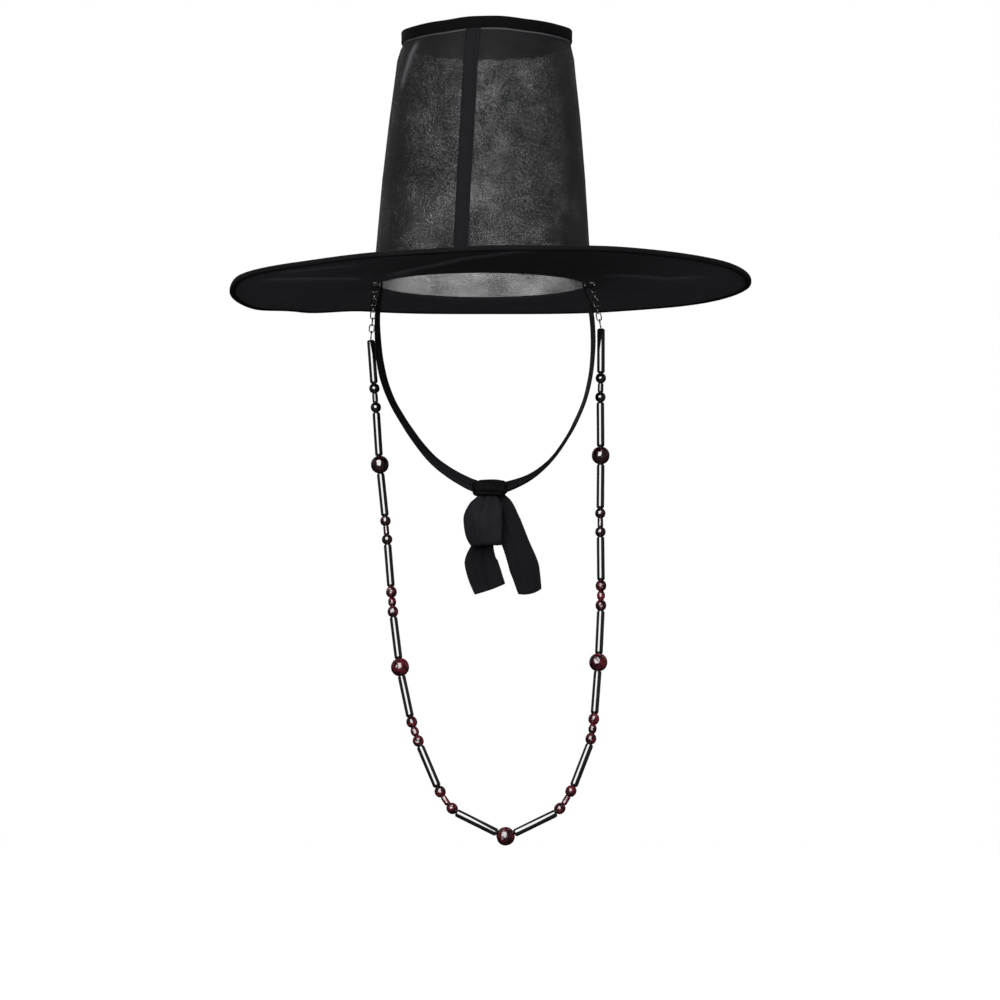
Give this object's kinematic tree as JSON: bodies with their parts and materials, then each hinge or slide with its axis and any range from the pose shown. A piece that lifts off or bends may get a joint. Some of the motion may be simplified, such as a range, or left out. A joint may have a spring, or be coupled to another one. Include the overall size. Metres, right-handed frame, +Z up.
{
  "type": "costume hat",
  "caption": "Tall tapered hat of sheer black cloth with a wide flat brim, a tied chin ribbon, and a long string of tube and round beads hanging on short chains.",
  "frame": {"origin": "middle of the head opening, in the plane where the crown meets the brim", "axes": "+Z up along the crown, -Y to the front, where the ribbon is tied and the beads hang, +X to the right as seen from the front"},
  "size_m": [0.44, 0.44, 0.6874],
  "materials": {
    "sheer_cloth": "sheer stiffened black mesh cloth, speckled grey where light catches it",
    "black_tape": "opaque black woven tape",
    "brim_cloth": "matte black cloth over a stiff brim",
    "ribbon": "soft black ribbon with a faint sheen",
    "chain_metal": "polished silver-coloured wire",
    "beads": "glossy near-black and garnet-red beads with black tubes"
  },
  "bodies": {
    "root": {"crown_mesh": "sheer_cloth", "crown_lid": "black_tape", "crown_binding": "black_tape", "seam_tape": "black_tape", "brim": "brim_cloth", "brim_binding": "brim_cloth", "chin_strap_left": "ribbon", "chin_strap_right": "ribbon", "chin_knot": "ribbon", "knot_lobe": "ribbon", "ribbon_tail_left": "ribbon", "ribbon_tail_right": "ribbon", "brim_eye_left": "chain_metal", "brim_eye_right": "chain_metal", "chain_left": "chain_metal", "chain_right": "chain_metal", "bead_string_left": "beads", "bead_string_right": "beads"}
  },
  "joints": []
}
